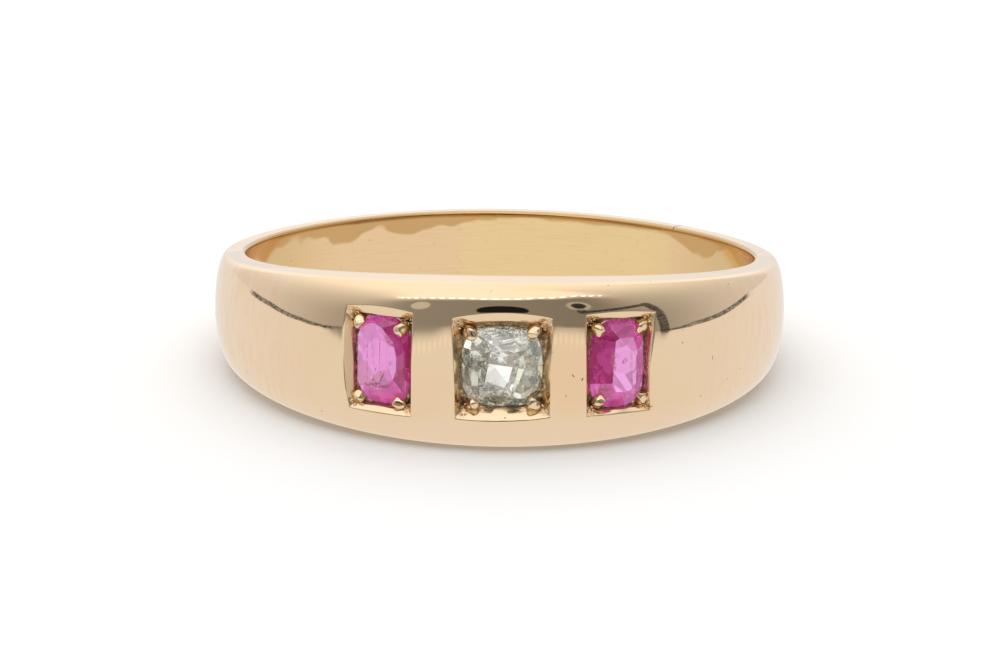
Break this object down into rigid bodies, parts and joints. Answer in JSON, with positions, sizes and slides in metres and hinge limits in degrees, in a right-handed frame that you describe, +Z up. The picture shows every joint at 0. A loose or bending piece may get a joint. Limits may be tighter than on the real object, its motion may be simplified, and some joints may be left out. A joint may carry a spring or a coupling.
{
  "type": "three-stone ring",
  "caption": "Tapered gold band ring, wide and domed at the front, with a cushion diamond between two rubies sunk into square bright-cut recesses.",
  "frame": {"origin": "on the surface that the ring lies on, under the middle of its bounding box", "axes": "+Z up from that surface, -Y towards the ring's wide front with the stones, +X to the right as the front is looked at"},
  "size_m": [0.0206, 0.0212, 0.0059],
  "materials": {
    "gold": "polished gold with fine wear scratches",
    "diamond": "polished, faceted",
    "ruby": "polished, faceted"
  },
  "bodies": {
    "root": {"band": "gold", "diamond": "diamond", "ruby_left": "ruby", "ruby_right": "ruby"}
  },
  "joints": []
}
